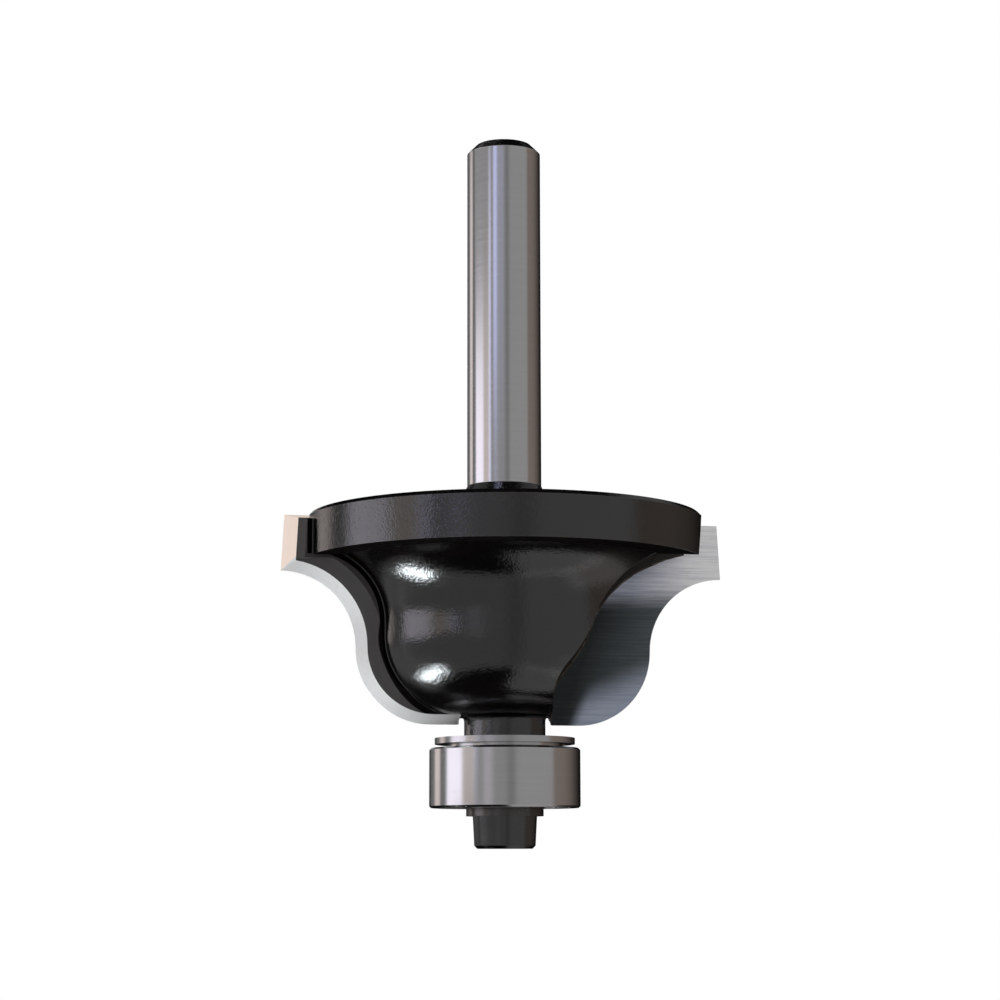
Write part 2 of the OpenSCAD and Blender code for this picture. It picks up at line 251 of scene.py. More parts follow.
    def stretch(
        self,
        vector: Any,
        scale: Sequence[float],
        shift: Sequence[float] = (0, 0, 0),
        turn: Sequence[float] = (0, 0, 0),
    ) -> Socket:
        """Scales a position along each axis, turns it and then shifts it.

        Args:
            vector: The position.
            scale: Factors along X, Y and Z.
            shift: What is added along X, Y and Z.
            turn: Angles about X, Y and Z, in radians.

        Returns:
            The new position's socket.
        """
        node = self.add("ShaderNodeMapping")
        self.feed(node.inputs["Vector"], vector)
        for name, value in (("Scale", scale), ("Rotation", turn), ("Location", shift)):
            node.inputs[name].default_value = value
        return node.outputs[0]

    def noise(self, vector: Any, scale: Any, detail: float = 2.0, rough: float = 0.5) -> Socket:
        """Adds a noise texture.

        Args:
            vector: Position.
            scale: Blotches per unit.
            detail: Octaves of finer noise.
            rough: How strong the finer octaves are.

        Returns:
            The noise, which mostly lies in NOISE_SPAN.
        """
        node = self.add("ShaderNodeTexNoise")
        for name, value in (("Vector", vector), ("Scale", scale), ("Detail", detail), ("Roughness", rough)):
            self.feed(node.inputs[name], value)
        return node.outputs[0]

    def parts(self, vector: Any) -> list[Socket]:
        """Splits a vector.

        Args:
            vector: The vector.

        Returns:
            Its X, Y and Z.
        """
        node = self.add("ShaderNodeSeparateXYZ")
        self.feed(node.inputs[0], vector)
        return list(node.outputs)

    def join(self, x: Any, y: Any, z: Any) -> Socket:
        """Makes a vector of three numbers.

        Args:
            x: Its X.
            y: Its Y.
            z: Its Z.

        Returns:
            The vector's socket.
        """
        node = self.add("ShaderNodeCombineXYZ")
        for socket, value in zip(node.inputs, (x, y, z)):
            self.feed(socket, value)
        return node.outputs[0]

    def place(self) -> Socket:
        """Gives the point on the piece in millimetres, from its Object coordinates."""
        return self.stretch(self.add("ShaderNodeTexCoord").outputs["Object"], (1 / MM, 1 / MM, 1 / MM))

    def use(self, group: bpy.types.NodeTree, **inputs: Any) -> dict[str, Socket]:
        """Places a node group.

        Args:
            group: The group.
            inputs: Value of each input, with underscores for the spaces in its name.

        Returns:
            The group's outputs by name.
        """
        node = self.add("ShaderNodeGroup", node_tree=group)
        for name, value in inputs.items():
            self.feed(node.inputs[name.replace("_", " ")], value)
        return {socket.name: socket for socket in node.outputs}


def length_of(sheet: Sheet, x: Any, y: Any) -> Socket:
    """Works out the length of a vector of two numbers."""
    return sheet.math("SQRT", sheet.plus(sheet.times(x, x), sheet.times(y, y)))


def squeezed(s: Sheet, place: Socket, lay: Lay) -> Socket:
    """Squeezes a position along the run of a tool's marks.

    Marks round the axis follow the distance from it and the height, with a little of X and Y so that
    no circle closes on itself. The others follow the three axes.

    Args:
        s: The sheet of the material.
        place: The point in millimetres.
        lay: How the marks run.

    Returns:
        The squeezed position.
    """
    if lay not in (Lay.ROUND, Lay.TURNED):
        return s.stretch(place, lay.value)
    x, y, z = s.parts(place)
    keep = lay.value[0]
    return s.join(s.times_plus(x, keep, length_of(s, x, y)), s.times_plus(y, keep, z), 0.0)


def new_group(
    name: str, inputs: dict[str, tuple[str, Any]], outputs: Iterable[str]
) -> tuple[bpy.types.NodeTree, Sheet, dict[str, Socket], bpy.types.Node]:
    """Starts a shader node group.

    Args:
        name: Name of the group.
        inputs: Kind (Float, Vector or Color) and default of each input.
        outputs: Names of its number outputs.

    Returns:
        The group, a sheet to draw in it, its input sockets by name, and its output node.
    """
    group = bpy.data.node_groups.new(name, "ShaderNodeTree")
    for label, (kind, default) in inputs.items():
        socket = group.interface.new_socket(label, in_out="INPUT", socket_type=f"NodeSocket{kind}")
        if default is not None:
            socket.default_value = default
    for label in outputs:
        group.interface.new_socket(label, in_out="OUTPUT", socket_type="NodeSocketFloat")
    sheet = Sheet(group)
    start = sheet.add("NodeGroupInput")
    return group, sheet, {s.name: s for s in start.outputs if s.name}, sheet.add("NodeGroupOutput")


def tool_marks_group() -> bpy.types.NodeTree:
    """Builds the marks of a lathe or a grinding wheel: fine lines of mixed depth, broken here and there.

    The lines are noise on a position that the caller has squeezed along their run, in a coarse and a
    fine size, and a third noise fades them in patches.

    Returns:
        The group, with Height and Shade from 0 to 1.
    """
    group, s, given, out = new_group(
        "tool marks",
        {"Squeezed": ("Vector", None), "Place": ("Vector", None), "Lines": ("Float", 8.0)},
        ("Height", "Shade"),
    )
    coarse_scale, coarse_share, faded, middle = 0.3, 0.45, 0.55, 0.5
    coarse = s.noise(given["Squeezed"], s.times(given["Lines"], coarse_scale), rough=0.6)
    fine = s.noise(given["Squeezed"], given["Lines"], detail=3.0, rough=0.7)
    patch = s.fit(s.noise(given["Place"], scale=0.5), faded, 1.0, *NOISE_SPAN)
    both = s.weigh(coarse_share, fine, coarse)
    lines = s.times_plus(s.minus(both, middle), patch, middle)
    s.feed(out.inputs["Height"], lines)
    s.feed(out.inputs["Shade"], s.fit(lines, 0.0, 1.0, *NOISE_SPAN))
    return group


def coat_skin_group() -> bpy.types.NodeTree:
    """Builds the skin of a baked coat: a slight orange peel with a finer grain, and a few specks of dust.

    Returns:
        The group, with Height from 0 to 1.
    """
    group, s, given, out = new_group(
        "coat skin", {"Place": ("Vector", None), "Peel": ("Float", 2.4)}, ("Height",)
    )
    grain_scale, grain_share, speck_height = 2.6, 0.6, 0.35
    wave = s.noise(given["Place"], given["Peel"], detail=1.5, rough=0.45)
    grain = s.noise(given["Place"], s.times(given["Peel"], grain_scale), detail=1.0)
    cells = s.add("ShaderNodeTexVoronoi")
    s.feed(cells.inputs["Vector"], given["Place"])
    s.feed(cells.inputs["Scale"], 1.1)
    dusty = s.step(s.noise(given["Place"], scale=0.33, detail=1.0), 0.52, 0.6)
    specks = s.times(s.step(cells.outputs["Distance"], 0.075, 0.03), dusty)
    peel = s.weigh(grain_share, wave, grain)
    s.feed(out.inputs["Height"], s.times_plus(specks, speck_height, peel))
    return group


def handling_group() -> bpy.types.NodeTree:
    """Builds what handling leaves: soft smudges and fine scratches in three directions.

    Each set of scratches is a noise on a position squeezed along a slanting run, cut so that only its
    crests stay, and broken up by a coarser noise.

    Returns:
        The group, with Smudge and Scratch from 0 to 1.
    """
    group, s, given, out = new_group("handling", {"Place": ("Vector", None)}, ("Smudge", "Scratch"))
    smudge = s.step(s.noise(given["Place"], scale=0.22, detail=3.0, rough=0.55), 0.38, 0.68)
    s.feed(out.inputs["Smudge"], smudge)
    run = (0.12, 5.5, 5.5)
    found: Any = 0.0
    for turn, shift in ((0.5, 3.0), (-0.9, 11.0), (1.7, 23.0)):
        slanted = s.stretch(given["Place"], run, (shift, shift, shift), (turn, 0.4 * turn, 0.7 * turn))
        crest = s.step(s.noise(slanted, scale=1.0, detail=1.0), 0.71, 0.76)
        found = s.math("MAXIMUM", found, crest)
    touched = s.step(s.noise(given["Place"], scale=0.4, detail=1.0), 0.45, 0.6)
    s.feed(out.inputs["Scratch"], s.times(found, touched))
    return group


def edge_wear_group() -> bpy.types.NodeTree:
    """Builds wear along an edge: whole where the distance to the edge is nil, ragged towards the width.

    Returns:
        The group, with Mask from 0 to 1.
    """
    group, s, given, out = new_group(
        "edge wear",
        {"Place": ("Vector", None), "Distance": ("Float", 1.0), "Width": ("Float", 0.1)},
        ("Mask",),
    )
    ragged = s.fit(s.noise(given["Place"], scale=2.6, detail=4.0, rough=0.65), 0.15, 1.7, *NOISE_SPAN)
    share = s.math("DIVIDE", given["Distance"], s.times(given["Width"], ragged))
    s.feed(out.inputs["Mask"], s.step(share, 1.0, 0.55))
    return group


@dataclass(frozen=True)
class Arc:
    """An arc of a turned outline: how far out and how high its centre lies, and its radius."""

    out: float
    height: float
    radius: float


@dataclass(frozen=True)
class Outline:
    """A bead below a cove, as distance from the axis over height.

    The foot is the height of the flat below the bead. The land is the straight part above the cove,
    given by its distance from the axis and the height of its lower end.
    """

    name: str
    foot: float
    bead: Arc
    cove: Arc
    land_out: float
    land_from: float

    def group(self) -> bpy.types.NodeTree:
        """Builds how deep a point lies inside the outline, measured square to it.

        Below it is the bead's radius less the distance to the bead's centre, above it the distance to
        the cove's centre less the cove's radius, and from the land's lower end the distance to the
        land. Between the two centres the outline is straight, so the bead counts only what lies below
        its centre, and the cove what lies above its own.

        Returns:
            The group, with Depth in millimetres, and Land, which is 1 where the land is nearer than
            the cove.
        """
        group, s, given, out = new_group(
            self.name, {"Out": ("Float", 0.0), "Height": ("Float", 0.0)}, ("Depth", "Land")
        )
        away, height = given["Out"], given["Height"]

        def reach(arc: Arc, side: Side) -> Socket:
            """Distance of the point from the centre of an arc, counting one side of its height."""
            rise = s.math(side.value, s.minus(height, arc.height), 0.0)
            return length_of(s, s.minus(away, arc.out), rise)

        bead = s.minus(self.bead.radius, reach(self.bead, Side.BELOW))
        flat = s.minus(height, self.foot)
        cove = s.minus(reach(self.cove, Side.ABOVE), self.cove.radius)
        land = s.minus(self.land_out, away)
        depth = s.weigh(s.math("GREATER_THAN", away, self.bead.out), flat, bead)
        depth = s.weigh(s.math("GREATER_THAN", height, self.cove.height), depth, cove)
        depth = s.weigh(s.math("GREATER_THAN", height, self.land_from), depth, land)
        s.feed(out.inputs["Depth"], depth)
        s.feed(out.inputs["Land"], s.step(s.minus(cove, land), -HAIR, HAIR))
        return group


# Heights and radii of the teeth, the hub and the disc's rim, as in the part's drawing. The centre of
# the hub's cove lies HUB_COVE_HEIGHT below the rim's foot, and the rim takes over from the cove
# RIM_MARGIN above that foot.
TOOTH_FOOT = 10.298
TOOTH_ARC_R = 6.35
TOOTH_R = 19.05
HUB_FOOT = 11.048
HUB_R = 11.0
HUB_BEAD_R = 6.4
HUB_COVE_R = 6.2
HUB_COVE_HEIGHT = 5.52
RIM_R = 16.95
RIM_FOOT = 24.078
RIM_MARGIN = 0.052

CUTTING_EDGE = Outline(
    "cutting edge",
    foot=TOOTH_FOOT,
    bead=Arc(TOOTH_ARC_R, TOOTH_FOOT + TOOTH_ARC_R, TOOTH_ARC_R),
    cove=Arc(TOOTH_R, TOOTH_FOOT + TOOTH_ARC_R, TOOTH_ARC_R),
    land_out=TOOTH_R,
    land_from=TOOTH_FOOT + 2 * TOOTH_ARC_R,
)
HUB = Outline(
    "hub",
    foot=HUB_FOOT,
    bead=Arc(HUB_R - HUB_BEAD_R, HUB_FOOT + HUB_BEAD_R, HUB_BEAD_R),
    cove=Arc(HUB_R + HUB_COVE_R, RIM_FOOT - HUB_COVE_HEIGHT, HUB_COVE_R),
    land_out=RIM_R,
    land_from=RIM_FOOT + RIM_MARGIN,
)


@dataclass
class Effects:
    """The shader groups that the finishes share, each built once."""

    marks: bpy.types.NodeTree = field(default_factory=tool_marks_group)
    skin: bpy.types.NodeTree = field(default_factory=coat_skin_group)
    handling: bpy.types.NodeTree = field(default_factory=handling_group)
    wear: bpy.types.NodeTree = field(default_factory=edge_wear_group)
    edge: bpy.types.NodeTree = field(default_factory=CUTTING_EDGE.group)
    hub: bpy.types.NodeTree = field(default_factory=HUB.group)

    def tool_marks(self, s: Sheet, place: Socket, lay: Lay, lines: float) -> dict[str, Socket]:
        """Marks a finish with a tool's lines, which run as the lay says."""
        return s.use(self.marks, Squeezed=squeezed(s, place, lay), Place=place, Lines=lines)


# Finishes


def shader(name: str, **constants: Any) -> tuple[bpy.types.Material, Sheet, bpy.types.Node]:
    """Starts a material with a Principled shader.

    Args:
        name: Name of the material.
        constants: Values of the shader's sockets, with underscores for the spaces in their names.

    Returns:
        The material, a sheet to draw in it, and the shader node.
    """
    material = bpy.data.materials.new(name)
    material.use_nodes = True
    sheet = Sheet(material.node_tree)
    main = next(n for n in material.node_tree.nodes if n.type == "BSDF_PRINCIPLED")
    for label, value in constants.items():
        sheet.feed(main.inputs[label.replace("_", " ")], value)
    return material, sheet, main


def bump(sheet: Sheet, main: bpy.types.Node, height: Any, depth: float) -> None:
    """Gives a shader a relief.

    Args:
        sheet: The sheet of the material.
        main: The shader node.
        height: Height from 0 to 1.
        depth: Height of the relief where it is 1, in millimetres.
    """
    node = sheet.add("ShaderNodeBump")
    node.inputs["Distance"].default_value = depth * MM
    sheet.feed(node.inputs["Height"], height)
    sheet.feed(main.inputs["Normal"], node.outputs[0])


def behind_rake(sheet: Sheet, x: Socket, y: Socket) -> Socket:
    """Works out how far a point lies behind the rake plane of its tooth.

    Tooth 2 is tooth 1 turned by half a turn, so Y changes its sign with X.
    """
    return sheet.times(y, sheet.math("SIGN", x))


@dataclass(frozen=True)
class Steel:
    """Bare steel that has been turned or ground, with smudges and fine scratches from handling."""

    name: str
    colour: Colour = (0.58, 0.57, 0.575)
    shade: Colour = (0.535, 0.525, 0.53)
    roughness: float = 0.13
    roughness_span: float = 0.05
    lay: Lay = Lay.ROUND
    lines: float = 9.0
    relief: float = 0.0009
    scratch: float = 0.5
    scratch_roughness: float = 0.08
    smudge: float = 0.18
    smudge_roughness: float = 0.03

    def material(self, effects: Effects) -> bpy.types.Material:
        """Builds the material.

        Args:
            effects: The shared shader groups.

        Returns:
            The material.
        """
        material, s, main = shader(self.name, Metallic=1.0)
        place = s.place()
        marks = effects.tool_marks(s, place, self.lay, self.lines)
        handling = s.use(effects.handling, Place=place)
        s.feed(main.inputs["Base Color"], self.tone(s, marks, handling))
        rough = s.times_plus(marks["Shade"], self.roughness_span, self.roughness)
        rough = s.times_plus(handling["Smudge"], self.smudge_roughness, rough)
        s.feed(main.inputs["Roughness"], s.times_plus(handling["Scratch"], self.scratch_roughness, rough))
        bump(s, main, s.times_plus(handling["Scratch"], -self.scratch, marks["Height"]), self.relief)
        return material

    def tone(self, s: Sheet, marks: dict[str, Socket], handling: dict[str, Socket]) -> Socket:
        """Colours the steel, which is darker in its marks and under smudges.

        Args:
            s: The sheet of the material.
            marks: Outputs of the tool marks.
            handling: Outputs of the smudges and scratches.

        Returns:
            The colour.
        """
        colour = s.blend(marks["Shade"], self.shade, self.colour)
        return s.blend(s.times(handling["Smudge"], self.smudge), colour, self.shade)


@dataclass(frozen=True)
class CoatedBody:
    """Finish of the cutter body: bare ground shank, gloss black coat below it, dark ground wing backs.

    The flanks of the wings lie between two distances behind the rake plane. The gullets were milled
    through the coat. The corner between wing and hub and the underside of the disc carry painted shade:
    a near-black colour that hardly reflects.
    """

    shank: Steel = Steel("ground shank", lay=Lay.TURNED, relief=0.001, scratch=0.3, smudge=0.15)
    black: Colour = (0.0012, 0.0012, 0.0013)
    warm_black: Colour = (0.0025, 0.002, 0.0018)
    rubbed: Colour = (0.02, 0.018, 0.016)
    flank: Colour = (0.019, 0.014, 0.0125)
    flank_shade: Colour = (0.014, 0.010, 0.009)
    cut: Colour = (0.042, 0.036, 0.030)
    cut_shade: Colour = (0.030, 0.026, 0.022)
    # Painted shade in the corner behind each wing and under the disc: near-black, hardly reflecting
    painted_shade: Colour = (0.006, 0.005, 0.0045)
    coat_gloss: float = 1.8
    coat_roughness: float = 0.12
    smudge_roughness: float = 0.02
    flank_roughness: float = 0.85
    cut_roughness: float = 0.9
    peel: float = 2.4
    skin_relief: float = 0.028
    flank_relief: float = 0.002
    tone_scale: float = 0.16
    tone_span: tuple[float, float] = (0.35, 0.65)
    rubbed_width: float = 0.06
    rubbed_share: float = 0.6
    shank_ends: tuple[float, float] = (30.6, 59.86)
    wing_ends: tuple[float, float] = (1.6, 2.9)
    neck_r: float = 3.5
    # How far from the hub the painted shade of the corner reaches, in millimetres
    corner: float = 0.42
    disc_top: float = 27.898
    disc_chamfer: float = 0.35
    margin: float = 0.03
    fade: float = 0.05

    def material(self, effects: Effects) -> bpy.types.Material:
        """Builds the material.

        Args:
            effects: The shared shader groups.

        Returns:
            The material.
        """
        material, s, main = shader("black coat and ground shank", IOR=self.coat_gloss)
        place = s.place()
        mask = self.masks(s, effects, place)
        handling = s.use(effects.handling, Place=place)
        skin = s.use(effects.skin, Place=place, Peel=self.peel)
        turned = effects.tool_marks(s, place, self.shank.lay, self.shank.lines)
        ground = effects.tool_marks(s, place, Lay.ALONG, self.shank.lines)

        steel = self.shank.tone(s, turned, handling)
        colour = s.blend(mask["bare"], self.coat(s, effects, place), steel)
        colour = s.blend(mask["flank"], colour, s.blend(ground["Shade"], self.flank_shade, self.flank))
        colour = s.blend(mask["cut"], colour, s.blend(ground["Shade"], self.cut_shade, self.cut))
        # The corner behind each wing and the underside of the disc get painted shade
        s.feed(main.inputs["Base Color"], s.blend(mask["painted_shade"], colour, self.painted_shade))
        # Metallic and rough where the gullets were cut and where shade is painted, so both reflect little
        matt = s.math("MAXIMUM", mask["cut"], mask["painted_shade"])
        s.feed(main.inputs["Metallic"], s.math("MAXIMUM", mask["bare"], matt))

        coat_rough = s.times_plus(handling["Smudge"], self.smudge_roughness, self.coat_roughness)
        steel_rough = s.times_plus(turned["Shade"], self.shank.roughness_span, self.shank.roughness)
        rough = s.weigh(mask["flank"], s.weigh(mask["bare"], coat_rough, steel_rough), self.flank_roughness)
        rough = s.weigh(matt, rough, self.cut_roughness)
        rough = s.times_plus(handling["Scratch"], self.shank.scratch_roughness, rough)
        s.feed(main.inputs["Roughness"], rough)

        steel_share = self.shank.relief / self.skin_relief
        flank_share = self.flank_relief / self.skin_relief
        relief = s.weigh(mask["bare"], skin["Height"], s.times(turned["Height"], steel_share))
        relief = s.weigh(mask["flank"], relief, s.times(ground["Height"], flank_share))
        relief = s.times_plus(handling["Scratch"], -self.shank.scratch * steel_share, relief)
        bump(s, main, relief, self.skin_relief)
        return material

    def coat(self, s: Sheet, effects: Effects, place: Socket) -> Socket:
        """Colours the coat in two tones of black, rubbed thin along both edges of the disc's rim.

        Args:
            s: The sheet of the material.
            effects: The shared shader groups.
            place: The point in millimetres.

        Returns:
            The colour.
        """
        x, y, z = s.parts(place)
        off_rim = s.apart(length_of(s, x, y), RIM_R)
        rim_top = self.disc_top - self.disc_chamfer
        near_edge = s.math("MINIMUM", s.apart(z, RIM_FOOT), s.apart(z, rim_top))
        to_edge = s.plus(near_edge, off_rim)
        wear = s.use(effects.wear, Place=place, Distance=to_edge, Width=self.rubbed_width)
        tone = s.step(s.noise(place, self.tone_scale), *self.tone_span)
        coat = s.blend(tone, self.black, self.warm_black)
        return s.blend(s.times(wear["Mask"], self.rubbed_share), coat, self.rubbed)

    def masks(self, s: Sheet, effects: Effects, place: Socket) -> dict[str, Socket]:
        """Finds where each finish lies.

        Args:
            s: The sheet of the material.
            effects: The shared shader groups.
            place: The point in millimetres.

        Returns:
            The masks of the bare shank, the flanks, the painted shade and the cut faces, by name.
        """
        x, y, z = s.parts(place)
        radius = length_of(s, x, y)
        behind = behind_rake(s, x, y)
        depth = s.use(effects.hub, Out=radius, Height=z)["Depth"]
        low, high = self.shank_ends
        bare = s.band(z, (low + self.margin, high - self.margin), (2 * self.margin, 2 * self.margin))
        near, far = self.wing_ends
        wing = s.times(
            s.band(behind, (near, far + self.margin), (self.margin, 2 * HAIR)),
            s.step(radius, self.neck_r, self.neck_r + self.fade),
            s.step(depth, -self.fade, -2 * self.fade),
        )
        flank = s.times(wing, s.step(depth, -self.corner, -self.corner - 2 * self.fade))
        underside = s.times(
            s.step(s.apart(z, RIM_FOOT), self.margin, HAIR),
            s.step(radius, RIM_R, RIM_R - 2 * self.fade),
        )
        # Painted shade: the corner between wing and hub, and the underside of the disc
        painted_shade = s.math("MAXIMUM", s.minus(wing, flank), underside)
        cut = s.times(self.cut_away(s, depth, radius, z), s.step(behind, 0.0, -HAIR))
        return {"bare": bare, "flank": flank, "painted_shade": painted_shade, "cut": cut}

    def cut_away(self, s: Sheet, depth: Socket, radius: Socket, z: Socket) -> Socket:
        """Finds what was milled away under the turned outline of hub and disc.

        Args:
            s: The sheet of the material.
            depth: Depth inside the outline without the disc's chamfer and top, in millimetres.
            radius: Distance from the axis, in millimetres.
            z: Height, in millimetres.

        Returns:
            A mask, which is 1 from a twentieth of a millimetre inside the outline.
        """
        corner = RIM_R + self.disc_top - self.disc_chamfer
        chamfer = s.times(s.minus(corner, s.plus(radius, z)), math.sqrt(0.5))
        top = s.minus(self.disc_top, z)
        return s.step(s.math("MINIMUM", depth, s.math("MINIMUM", chamfer, top)), HAIR, self.fade)


@dataclass(frozen=True)
class Carbide:
    """Ground tungsten carbide: fine wheel marks across the rake face, and matt, even flanks.

    The rake face carries painted reflections: it is brightest on the land and below the bead's
    shoulder, and between them lies a dark band of painted shade that deepens beside the gullet.
    """

    # Painted reflections (near, far, low) and painted shade (by the gullet, outer) on the rake face
    reflection_near: Colour = (0.55, 0.58, 0.70)
    reflection_far: Colour = (1.0, 0.985, 1.0)
    reflection_low: Colour = (0.42, 0.465, 0.58)
    shade_by_gullet: Colour = (0.028, 0.032, 0.033)
    shade_band_outer: Colour = (0.10, 0.115, 0.125)
    streak_dark: Colour = (0.86, 0.86, 0.87)
    streak_light: Colour = (1.13, 1.12, 1.10)
    flank: Colour = (0.80, 0.80, 0.80)
    flank_shade: Colour = (0.70, 0.70, 0.70)
    # Painted reflection: the flank's straight part gets a lighter, warmer copy of the flank colour
    land: Colour = (0.95, 0.80, 0.71)
    bright_edge: Colour = (0.95, 0.95, 0.98)
    face_metal: float = 0.86
    flank_metal: float = 0.4
    face_roughness: tuple[float, float] = (0.26, 0.34)
    flank_roughness: float = 0.7
    smudge_roughness: float = 0.04
    face_lines: float = 11.0
    flank_lines: float = 7.0
    relief: float = 0.0025
    worn_width: float = 0.04
    worn_share: float = 0.4
    streak_span: tuple[float, float] = (0.36, 0.64)
    fray: float = 0.5
    bright_ends: tuple[float, float] = (11.2, 17.7)
    band_top: tuple[float, float] = (20.3, 22.9)
    shoulder: tuple[float, float] = (7.2, 12.9)
    shoulder_rise: float = 0.42
    shoulder_fade: float = 1.6
    gullet_lean: float = 0.38
    gullet_fade: tuple[float, float] = (-0.9, 0.4)
    dark_ends: tuple[float, float] = (-1.5, 3.4)

    def material(self, effects: Effects) -> bpy.types.Material:
        """Builds the material.

        Args:
            effects: The shared shader groups.

        Returns:
            The material.
        """
        material, s, main = shader("ground carbide")
        place = s.place()
        x, y, z = s.parts(place)
        out_x = s.math("ABSOLUTE", x)
        edge = s.use(effects.edge, Out=out_x, Height=z)
        handling = s.use(effects.handling, Place=place)
        rake = s.step(behind_rake(s, x, y), 1.5 * HAIR, 0.5 * HAIR)
        across = effects.tool_marks(s, place, Lay.ACROSS, self.face_lines)
        even = effects.tool_marks(s, place, Lay.EVEN, self.flank_lines)

        flank = s.blend(even["Shade"], self.flank_shade, self.flank)
        # The straight part of the flank takes its painted reflection
        flank = s.blend(edge["Land"], flank, self.land)
        # The rake face takes its painted reflections and painted shade
        colour = s.blend(rake, flank, self.face_painted_light(s, out_x, z, across["Shade"]))
        to_edge = s.math("ABSOLUTE", edge["Depth"])
        sharp = s.use(effects.wear, Place=place, Distance=to_edge, Width=self.worn_width)
        worn = s.times(sharp["Mask"], rake, self.worn_share)
        s.feed(main.inputs["Base Color"], s.blend(worn, colour, self.bright_edge))
        s.feed(main.inputs["Metallic"], s.weigh(rake, self.flank_metal, self.face_metal))
        rough = s.weigh(rake, self.flank_roughness, s.fit(across["Shade"], *self.face_roughness))
        s.feed(main.inputs["Roughness"], s.times_plus(handling["Smudge"], self.smudge_roughness, rough))
        bump(s, main, s.weigh(rake, even["Height"], across["Height"]), self.relief)
        return material

    def face_painted_light(self, s: Sheet, out_x: Socket, z: Socket, shade: Socket) -> Socket:
        """Paints reflections and shade into the colour of the rake face, by height and by distance from the
        axis.

        The upper part, a painted reflection that grows lighter outwards, starts where the height passes
        the band's top. The lower part, also a painted reflection, lies outside a line that leans with the
        gullet, and under a line that climbs outwards from the shoulder. Between them lies painted shade,
        darkest beside the gullet.

        Args:
            s: The sheet of the material.
            out_x: Distance from the axis in the rake plane, in millimetres.
            z: Height, in millimetres.
            shade: The wheel marks, which streak the face and fray the limits.

        Returns:
            The colour.
        """
        frayed = s.times_plus(shade, self.fray, z)
        in_x, from_z = self.shoulder
        gullet = s.times_plus(z, self.gullet_lean, in_x - self.gullet_lean * from_z)
        off_gullet = s.minus(out_x, gullet)
        roof = s.times_plus(out_x, self.shoulder_rise, from_z - self.shoulder_rise * in_x)
        under = s.step(s.minus(roof, frayed), -self.shoulder_fade, self.shoulder_fade)
        lower = s.times(s.step(off_gullet, *self.gullet_fade), under)
        # Painted reflection, lighter outwards, and painted shade, darkest beside the gullet
        bright = s.blend(s.fit(out_x, 0.0, 1.0, *self.bright_ends), self.reflection_near, self.reflection_far)
        dark = s.blend(s.fit(off_gullet, 0.0, 1.0, *self.dark_ends), self.shade_by_gullet, self.shade_band_outer)
        colour = s.blend(s.step(frayed, *self.band_top), s.blend(lower, dark, self.reflection_low), bright)
        streak = s.blend(s.step(shade, *self.streak_span), self.streak_dark, self.streak_light)
        return s.blend(1.0, colour, streak, "MULTIPLY")


@dataclass(frozen=True)
class BlackOxide:
    """Blackened screw steel, with the brown of the metal showing on its edges and in its wear."""

    black: Colour = (0.004, 0.0038, 0.0036)
    worn: Colour = (0.10, 0.088, 0.08)
    gloss: float = 1.85
    roughness: float = 0.15
    smudge_roughness: float = 0.05
    peel: float = 7.0
    relief: float = 0.003
    foot_z: float = 0.0
    head_r: float = 2.44
    wear_width: float = 0.12
    wear_share: float = 0.4
    scratch_share: float = 0.3
    worn_metal: float = 0.8

    def material(self, effects: Effects) -> bpy.types.Material:
        """Builds the material.

        Args:
            effects: The shared shader groups.

        Returns:
            The material.
        """
        material, s, main = shader("black oxide", IOR=self.gloss)
        place = s.place()
        x, y, z = s.parts(place)
        handling = s.use(effects.handling, Place=place)
        skin = s.use(effects.skin, Place=place, Peel=self.peel)
        to_edge = s.plus(s.apart(z, self.foot_z), s.apart(length_of(s, x, y), self.head_r))
        wear = s.use(effects.wear, Place=place, Distance=to_edge, Width=self.wear_width)
        scratched = s.times(handling["Scratch"], self.scratch_share)
        share = s.math("MAXIMUM", s.times(wear["Mask"], self.wear_share), scratched)
        s.feed(main.inputs["Base Color"], s.blend(share, self.black, self.worn))
        s.feed(main.inputs["Metallic"], s.times(share, self.worn_metal))
        rough = s.times_plus(handling["Smudge"], self.smudge_roughness, self.roughness)
        s.feed(main.inputs["Roughness"], rough)
        bump(s, main, skin["Height"], self.relief)
        return material


@dataclass(frozen=True)
class Braze:
    """The silver solder that holds a carbide tip: a thin, lumpy line, dulled by flux and coat."""

    metal: Colour = (0.11, 0.097, 0.085)
    flux: Colour = (0.04, 0.035, 0.03)
    roughness: tuple[float, float] = (0.25, 0.45)
    peel: float = 5.0
    relief: float = 0.01
    stain_scale: float = 1.3
    stain_span: tuple[float, float] = (0.42, 0.66)

    def material(self, effects: Effects) -> bpy.types.Material:
        """Builds the material.

        Args:
            effects: The shared shader groups.

        Returns:
            The material.
        """
        material, s, main = shader("silver solder", Metallic=1.0)
        place = s.place()
        skin = s.use(effects.skin, Place=place, Peel=self.peel)
        stain = s.step(s.noise(place, self.stain_scale, detail=3.0, rough=0.6), *self.stain_span)
        s.feed(main.inputs["Base Color"], s.blend(stain, self.metal, self.flux))
        s.feed(main.inputs["Roughness"], s.fit(stain, *self.roughness))
        bump(s, main, skin["Height"], self.relief)
        return material


# Surfaces


